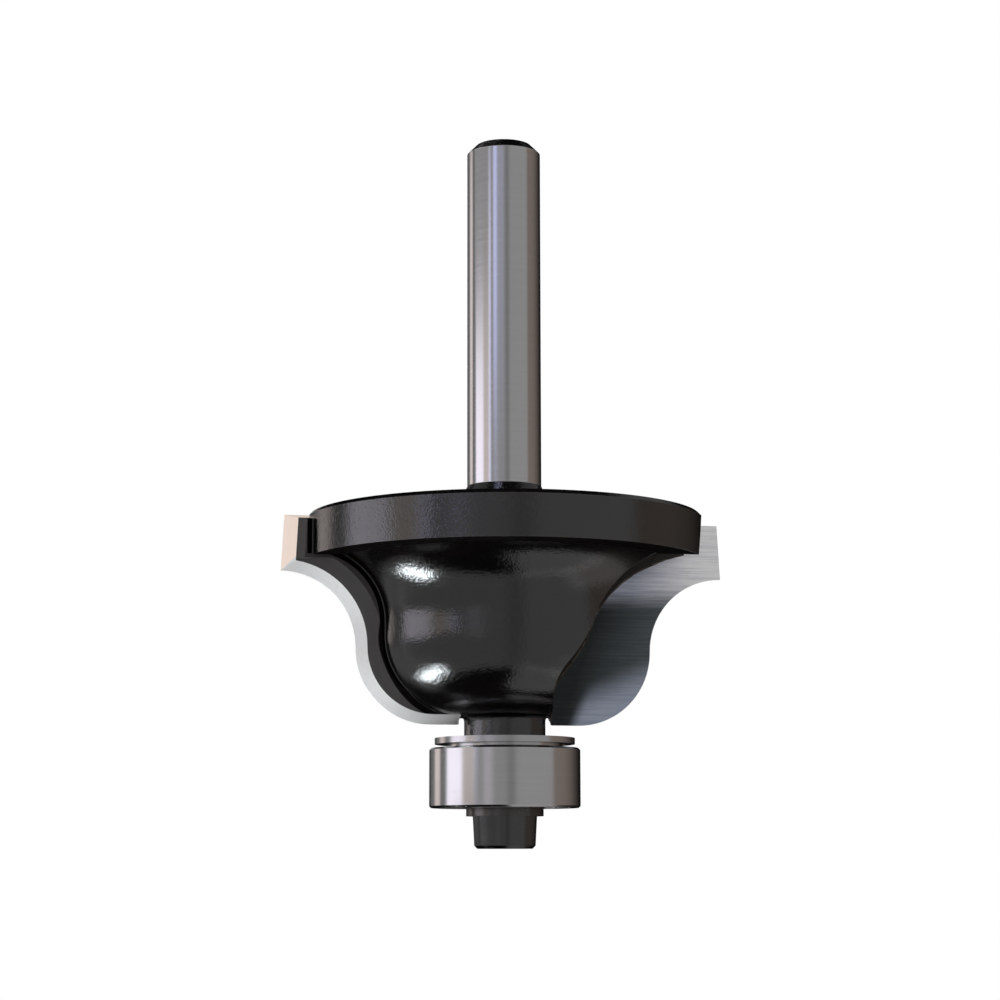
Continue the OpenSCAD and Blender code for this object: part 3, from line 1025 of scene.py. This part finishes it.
def surface(
    name: str, points: np.ndarray, material: bpy.types.Material, closed: bool = False
) -> bpy.types.Object:
    """Makes a mesh of a grid of points, with a UV map that runs from 0 to 1 over the grid.

    Args:
        name: Name of the object.
        points: Array of rows by columns by 3, in millimetres. Faces look along the cross product of
            the direction of the columns and that of the rows.
        material: The finish.
        closed: Whether the last column joins the first and the end rows are capped.

    Returns:
        The object, at the origin.
    """
    rows, columns = points.shape[:2]
    index = np.arange(rows * columns).reshape(rows, columns)
    if closed:
        index = np.concatenate([index, index[:, :1]], axis=1)
    quads = np.stack([index[:-1, :-1], index[:-1, 1:], index[1:, 1:], index[1:, :-1]], axis=-1)
    faces = quads.reshape(-1, 4).tolist()
    if closed:
        faces += [index[0, :-1][::-1].tolist(), index[-1, :-1].tolist()]
    mesh = bpy.data.meshes.new(name)
    mesh.from_pydata((points.reshape(-1, 3) * MM).tolist(), [], faces)
    loops = np.zeros(len(mesh.loops), dtype=np.int32)
    mesh.loops.foreach_get("vertex_index", loops)
    uv = np.stack([(loops % columns) / max(columns - 1, 1), (loops // columns) / max(rows - 1, 1)], axis=-1)
    mesh.uv_layers.new(name="UVMap").data.foreach_set("uv", uv.astype(np.float32).ravel())
    mesh.polygons.foreach_set("use_smooth", np.ones(len(mesh.polygons), dtype=bool))
    mesh.materials.append(material)
    mesh.update()
    thing = bpy.data.objects.new(name, mesh)
    bpy.context.scene.collection.objects.link(thing)
    return thing


def dress(nodes: Iterable[str], material: bpy.types.Material) -> None:
    """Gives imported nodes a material.

    Args:
        nodes: Names of the nodes.
        material: The finish.
    """
    for node in nodes:
        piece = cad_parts[node]
        piece.data.materials.clear()
        piece.data.materials.append(material)
        LOG.info("dressed %s with %s", node, material.name)


# The bit


@dataclass
class Cutter:
    """The cutter body with its carbide tips and the braze that shows beside them.

    Each of the gullet's arcs is given by the X and Z of its upper end and by its rise over its chord.
    The hidden corner of the seam's section lies seam_sink inside the gullet floor, and behind the
    rake plane by seam_lap, which is a share of the seam's width.
    """

    effects: Effects
    body: str = "cutter"
    seam_slot: str = "carbide"
    seam_foot: float = 10.34
    gullet_start: tuple[float, float] = (4.0, 12.598)
    gullet_arcs: tuple[tuple[float, float, float], ...] = (
        (5.1, 14.798, 0.15),
        (7.85, 19.598, -0.3),
        (10.4, 22.698, 0.2),
        (15.75, 25.128, 0.3),
    )
    notch_top: float = 27.8
    seam_width: float = 0.1
    seam_sink: float = 0.06
    seam_lap: float = 0.08
    seam_end: float = 0.8
    seam_tip: float = 0.15
    seam_tip_share: float = 0.2
    swell: tuple[float, float] = (0.22, 1.9)
    ripple: tuple[float, float] = (0.14, 4.3)
    coat: CoatedBody = field(default_factory=CoatedBody)
    carbide: Carbide = field(default_factory=Carbide)
    braze: Braze = field(default_factory=Braze)

    def build(self) -> None:
        """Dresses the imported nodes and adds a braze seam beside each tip."""
        dress(["cutter_body"], self.coat.material(self.effects))
        dress(["carbide_tip_1", "carbide_tip_2"], self.carbide.material(self.effects))
        metal = self.braze.material(self.effects)
        for number, turn in ((1, 0.0), (2, math.pi)):
            seam = surface(f"braze_seam_{number}", self.seam(turn), metal, closed=True)
            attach(seam, self.body)
            LOG.info("added %s", seam.name)

    def gullet_line(self) -> np.ndarray:
        """Works out the line along which the gullet floor meets the rake face.

        It is straight up from the seam's foot, then four arcs in a row, and straight up again into
        the disc's notch. A point on an arc of rise r lies off the arc's chord by about
        4 r t (1 - t), where t is its share of the chord.

        Returns:
            Array of points by 2, as X and Z.
        """
        corners = np.array([self.gullet_start] + [arc[:2] for arc in self.gullet_arcs])
        rises = [arc[2] for arc in self.gullet_arcs]
        t = np.linspace(0.0, 1.0, 12)[1:, None]
        pieces = [np.linspace((corners[0, 0], self.seam_foot), corners[0], 6)]
        for start, end, rise in zip(corners[:-1], corners[1:], rises):
            way = end - start
            left = np.array([-way[1], way[0]]) / np.hypot(*way)
            pieces.append(start + t * way + 4 * rise * t * (1 - t) * left)
        pieces.append(np.linspace(corners[-1], (corners[-1, 0], self.notch_top), 7)[1:])
        return np.concatenate(pieces)

    def seam(self, turn: float) -> np.ndarray:
        """Works out a braze seam: a fillet carried along the gullet line.

        Its section is a quarter of a hollow circle between the rake face and the gullet floor, closed
        by three straight sides, which lie just inside the metal. Its width swells and shrinks by a sum
        of sines along the line, each with its share of the width and its turns in radians for each
        millimetre, and it thins out towards both ends.

        Args:
            turn: Angle about the axis, in radians.

        Returns:
            Array of points along the line by points round the section by 3.
        """
        line = self.gullet_line()
        along = np.concatenate([[0.0], np.cumsum(np.hypot(*np.diff(line, axis=0).T))])
        swell = self.swell[0] * np.sin(self.swell[1] * along + turn)
        ripple = self.ripple[0] * np.sin(self.ripple[1] * along + 1)
        to_end = np.minimum(along, along[-1] - along) + self.seam_tip
        width = self.seam_width * (1 + swell + ripple)
        width *= np.clip(to_end / self.seam_end, self.seam_tip_share, 1.0)
        way = np.gradient(line, axis=0)
        way /= np.hypot(*way.T)[:, None]
        outward = np.stack([way[:, 1], -way[:, 0]], axis=-1)
        angle = np.linspace(0.0, np.pi / 2, 9)
        inside = np.full((len(line), 2), -self.seam_sink)
        away = np.concatenate([width[:, None] * (1 - np.sin(angle)), inside], axis=1)
        ahead = width[:, None] * np.concatenate([1 - np.cos(angle), [1.0, -self.seam_lap]])
        flat = line[:, None, :] + away[..., None] * outward[:, None, :]
        c, s = math.cos(turn), math.sin(turn)
        x, y = flat[..., 0], -ahead
        return np.stack([x * c - y * s, x * s + y * c, flat[..., 1]], axis=-1)[:, ::-1]


@dataclass
class GuideBearing:
    """The shielded ball bearing that guides the bit."""

    effects: Effects
    ball_count: int = 7
    rings: Steel = Steel("ground bearing steel")
    balls: Steel = Steel(
        "polished ball steel",
        (0.7, 0.7, 0.72),
        (0.63, 0.63, 0.65),
        roughness=0.06,
        roughness_span=0.04,
        lay=Lay.EVEN,
        lines=6.0,
        relief=0.0004,
        scratch=0.2,
    )
    cage: Steel = Steel(
        "pressed cage steel",
        (0.52, 0.46, 0.36),
        (0.4, 0.34, 0.26),
        roughness=0.3,
        roughness_span=0.1,
        lines=6.0,
    )
    shields: Steel = Steel(
        "rolled shield steel",
        (0.5, 0.5, 0.52),
        (0.4, 0.4, 0.42),
        roughness=0.28,
        roughness_span=0.12,
        lay=Lay.ACROSS,
        lines=7.0,
    )
    springs: Steel = Steel(
        "spring steel", (0.28, 0.27, 0.28), (0.2, 0.19, 0.2), roughness=0.3, roughness_span=0.1
    )

    def build(self) -> None:
        """Dresses the rings, balls, cage, shields and snap rings."""
        balls = [f"bearing_ball_{number}" for number in range(1, self.ball_count + 1)]
        dress(["bearing_outer_ring", "bearing_inner_ring"], self.rings.material(self.effects))
        dress(balls, self.balls.material(self.effects))
        dress(["ball_cage"], self.cage.material(self.effects))
        dress(["upper_shield", "lower_shield"], self.shields.material(self.effects))
        dress(["upper_snap_ring", "lower_snap_ring"], self.springs.material(self.effects))


@dataclass
class Stack:
    """What holds the bearing on its stud: washers, spacer and cap screw."""

    effects: Effects
    washers: Steel = Steel("satin washer steel", (0.54, 0.53, 0.535), (0.5, 0.49, 0.495), roughness=0.17)
    small_washer: Steel = Steel(
        "dark washer steel", (0.115, 0.108, 0.105), (0.09, 0.083, 0.08), roughness=0.2
    )
    screw: BlackOxide = field(default_factory=BlackOxide)

    def build(self) -> None:
        """Dresses the washers, the spacer and the screw."""
        dress(["dust_washer", "bearing_spacer"], self.washers.material(self.effects))
        dress(["screw_washer"], self.small_washer.material(self.effects))
        dress(["cap_screw"], self.screw.material(self.effects))


# Studio


@dataclass(frozen=True)
class Screen:
    """A soft-edged screen of light on the inside of the tent.

    Azimuths and elevations are in degrees as seen from the bit, with azimuth 0 at -Y and 90 at +X.
    The fades are how far beyond its start and its end a screen takes to die away.
    """

    name: str
    azimuths: tuple[float, float]
    elevations: tuple[float, float]
    glow: float
    tint: Colour = (1.0, 1.0, 1.0)
    side_fade: tuple[float, float] = (4.0, 4.0)
    height_fade: tuple[float, float] = (4.0, 4.0)

    def light(self, s: Sheet, azimuth: Socket, elevation: Socket) -> Socket:
        """Works out the screen's light in one direction.

        Args:
            s: The sheet of the tent's material.
            azimuth: Azimuth of the direction, in degrees.
            elevation: Its elevation, in degrees.

        Returns:
            The light as a vector of red, green and blue.
        """
        middle = (self.azimuths[0] + self.azimuths[1]) / 2
        half = (self.azimuths[1] - self.azimuths[0]) / 2
        turned = s.math("WRAP", s.minus(azimuth, middle), 180.0, -180.0)
        across = s.band(turned, (-half, half), self.side_fade)
        share = s.times(self.glow, across, s.band(elevation, self.elevations, self.height_fade))
        node = s.add("ShaderNodeVectorMath", operation="SCALE")
        s.feed(node.inputs[0], self.tint)
        s.feed(node.inputs["Scale"], share)
        return node.outputs[0]


# Tints of the screens' light
WARM = (1.0, 0.83, 0.73)
ROSE = (1.0, 0.86, 0.82)
VIOLET = (0.97, 0.93, 1.06)
BLUE = (0.82, 0.86, 1.25)
AZURE = (0.70, 0.77, 1.35)
COOL = (0.93, 1.0, 1.04)


@dataclass
class Studio:
    """Floor, lamp, a dark tent with screens that only reflections see, white surround and camera.

    The floor's fade is in shares of its radius, and angles are in degrees.
    """

    floor_z: float = -0.05
    floor_r: float = 420.0
    floor_fade: tuple[float, float] = (0.3, 0.95)
    floor_colours: tuple[Colour, Colour] = ((0.93, 0.93, 0.93), (0.96, 0.96, 0.96))
    fill: float = 0.7
    tent_r: float = 1000.0
    tent_z: float = 20.0
    tent_dark: float = 0.008
    lamp_at: tuple[float, float, float] = (-150.0, -200.0, 550.0)
    lamp_size: float = 500.0
    lamp_power: float = 1.9
    camera_at: tuple[float, float, float] = (-39.67, -194.90, -0.475)
    camera_turn: float = 11.4
    camera_tilt: float = 8.563
    camera_roll: float = -0.098
    lens: float = 84.78
    screens: tuple[Screen, ...] = (
        Screen("front right", (10, 64), (-52, 26), 0.405, side_fade=(20, 6), height_fade=(3, 6)),
        Screen("front left", (-112, -12), (-52, 26), 0.36, side_fade=(3, 16), height_fade=(3, 6)),
        Screen("left side", (-160, -112), (-3, 26), 0.2, side_fade=(8, 3), height_fade=(3, 6)),
        Screen("left skirt", (-135, -112), (-52, -6), 0.34, side_fade=(7, 3), height_fade=(3, 3)),
        Screen("left fill", (-41, -35), (-4, 6), 0.22, VIOLET, (5, 10), (3, 5)),
        Screen("left box", (-108, -82), (-1.5, 12), 1.35, VIOLET, (3, 6), (2, 4)),
        Screen("warm wash", (-77, -60), (1, 13), 0.5, WARM, (4, 3), (2, 4)),
        Screen("violet stripe", (-59, -54), (6, 17), 0.85, BLUE, (2, 2), (6, 4)),
        Screen("high stripe", (-43, -35), (13, 23), 0.75, AZURE, (4, 3), (2, 4)),
        Screen("high fill", (-32, -16), (13, 23), 0.16, AZURE, (4, 10), (2, 4)),
        Screen("rear left box", (-140, -129), (0, 17), 0.85, ROSE, (9, 3), (3, 6)),
        Screen("right wall", (70, 80), (-52, 26), 0.26, WARM, (6, 66), (3, 6)),
        Screen("right skirt", (60, 112), (-52, -34), 0.26, side_fade=(15, 10), height_fade=(3, 12)),
        Screen("low right", (10, 106), (-84, -52), 0.47, side_fade=(12, 14), height_fade=(4, 3)),
        Screen("low lamp", (-120, -88), (-46.5, -38.5), 18.0, COOL, (2, 2), (1, 1)),
        Screen("low glow", (-156, -150), (-61, -57), 0.5, COOL, (3, 3), (2, 2)),
        Screen("high lamp", (-48, -30), (57, 65), 1.6, BLUE, (5, 5), (3, 3)),
        Screen("ceiling ring", (-138, 138), (34, 52), 0.25, side_fade=(4, 4), height_fade=(6, 5)),
        Screen("rear", (175, 185), (4, 17), 0.38, side_fade=(5, 5), height_fade=(6, 4)),
        Screen("rear sky", (172, 188), (44, 62), 0.5, side_fade=(5, 5), height_fade=(6, 3)),
    )

    def build(self) -> None:
        """Builds the studio in order."""
        self.world()
        self.floor()
        self.tent()
        self.lamp()
        self.camera()

    def world(self) -> None:
        """Fills in light from all sides, and shows white to the camera, mirrors and glass."""
        world = bpy.data.worlds.new("studio")
        bpy.context.scene.world = world
        world.use_nodes = True
        s = Sheet(world.node_tree)
        world.node_tree.nodes.clear()
        path = s.add("ShaderNodeLightPath")
        seen = s.math("MAXIMUM", path.outputs["Is Camera Ray"], path.outputs["Is Glossy Ray"])
        seen = s.math("MAXIMUM", seen, path.outputs["Is Transmission Ray"])
        light = s.add("ShaderNodeBackground")
        light.inputs["Color"].default_value = (1, 1, 1, 1)
        s.feed(light.inputs["Strength"], s.weigh(seen, self.fill, 1.0))
        s.feed(s.add("ShaderNodeOutputWorld").inputs["Surface"], light.outputs[0])

    def floor(self) -> None:
        """Lays a pale round floor under the bit.

        It fades out towards its edge, and it is seen from above only, so that the camera, which
        stands a little below the foot of the bit, sees the bit against the white surround.
        """
        material, s, main = shader("pale floor", Roughness=0.9, Specular_IOR_Level=0.1)
        place = s.place()
        x, y, _ = s.parts(place)
        s.feed(main.inputs["Base Color"], s.blend(s.noise(place, scale=0.02), *self.floor_colours))
        fade_from, fade_to = (share * self.floor_r for share in self.floor_fade)
        gone = s.step(length_of(s, x, y), fade_from, fade_to)
        gone = s.math("MAXIMUM", gone, s.add("ShaderNodeNewGeometry").outputs["Backfacing"])
        choose = s.add("ShaderNodeMixShader")
        s.feed(choose.inputs[0], gone)
        s.feed(choose.inputs[1], main.outputs[0])
        s.feed(choose.inputs[2], s.add("ShaderNodeBsdfTransparent").outputs[0])
        output = next(n for n in material.node_tree.nodes if n.type == "OUTPUT_MATERIAL")
        s.feed(output.inputs["Surface"], choose.outputs[0])
        turn = np.linspace(0.0, 2 * np.pi, 65)[None, :]
        reach = self.floor_r * np.array([0.001, 0.1, 0.3, 0.6, 1.0])[:, None]
        flat = np.stack([reach * np.cos(turn), reach * np.sin(turn)], axis=-1)
        points = np.concatenate([flat, np.full_like(flat[..., :1], self.floor_z)], axis=-1)
        floor = surface("floor", points[:, ::-1], material)
        floor.visible_glossy = False

    def tent(self) -> None:
        """Hangs the tent: a dark ball round the studio, with the sum of all screens on its inside.

        A point of the ball has its azimuth from the arc tangent of X over -Y, and its elevation from
        that of the height over the distance from the upright axis.
        """
        material = bpy.data.materials.new("tent")
        material.use_nodes = True
        material.node_tree.nodes.clear()
        material.cycles.emission_sampling = "NONE"
        s = Sheet(material.node_tree)
        x, y, z = s.parts(s.stretch(s.place(), (1, 1, 1), (0, 0, -self.tent_z)))
        azimuth = s.math("DEGREES", s.math("ARCTAN2", x, s.times(y, -1.0)))
        elevation = s.math("DEGREES", s.math("ARCTAN2", z, length_of(s, x, y)))
        total: Any = (self.tent_dark,) * 3
        for screen in self.screens:
            node = s.add("ShaderNodeVectorMath", operation="ADD")
            s.feed(node.inputs[0], total)
            s.feed(node.inputs[1], screen.light(s, azimuth, elevation))
            total = node.outputs[0]
            LOG.info("hung the %s screen", screen.name)
        glow = s.add("ShaderNodeEmission")
        s.feed(glow.inputs["Color"], total)
        s.feed(s.add("ShaderNodeOutputMaterial").inputs["Surface"], glow.outputs[0])
        around = np.linspace(-np.pi, np.pi, 97)[None, :-1]
        up = np.radians(np.linspace(-89.5, 89.5, 61))[:, None]
        level = np.cos(up)
        x, y, z = level * np.sin(around), -level * np.cos(around), np.sin(up) + 0 * around
        points = self.tent_r * np.stack([x, y, z], axis=-1) + (0, 0, self.tent_z)
        tent = surface("tent", points, material, closed=True)
        tent.visible_camera = tent.visible_diffuse = tent.visible_shadow = False
        tent.visible_transmission = tent.visible_volume_scatter = False

    def lamp(self) -> None:
        """Hangs one broad soft lamp above, so that the floor keeps a soft shadow."""
        lamp = bpy.data.lights.new("lamp_above", "AREA")
        lamp.shape, lamp.size, lamp.energy = "DISK", self.lamp_size * MM, self.lamp_power
        holder = bpy.data.objects.new("lamp_above", lamp)
        holder.location = Vector(self.lamp_at) * MM
        holder.rotation_mode = "QUATERNION"
        aim = Vector((0, 0, self.tent_z * MM)) - holder.location
        holder.rotation_quaternion = aim.to_track_quat("-Z", "Y")
        holder.visible_glossy = False
        bpy.context.scene.collection.objects.link(holder)

    def camera(self) -> None:
        """Stands the camera where the photograph was taken from, looking a little up."""
        data = bpy.data.cameras.new("camera")
        data.lens, data.sensor_width = self.lens, 36.0
        data.clip_start, data.clip_end = 0.01, 50.0
        camera = bpy.data.objects.new("camera", data)
        turn = Matrix.Rotation(-math.radians(self.camera_turn), 4, "Z")
        tilt = Matrix.Rotation(math.radians(90.0 + self.camera_tilt), 4, "X")
        roll = Matrix.Rotation(math.radians(self.camera_roll), 4, "Z")
        camera.matrix_world = Matrix.Translation(Vector(self.camera_at) * MM) @ turn @ tilt @ roll
        bpy.context.scene.collection.objects.link(camera)
        bpy.context.scene.camera = camera


def main() -> None:
    """Builds everything in order."""
    logging.basicConfig(level=logging.INFO, format="%(name)s: %(message)s", stream=sys.stdout)
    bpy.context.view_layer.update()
    effects = Effects()
    for assembly in (Cutter(effects), GuideBearing(effects), Stack(effects), Studio()):
        assembly.build()
        LOG.info("built %s", type(assembly).__name__)
    view = bpy.context.scene.view_settings
    view.view_transform = "Standard"
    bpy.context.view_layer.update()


if __name__ == "__main__":
    main()
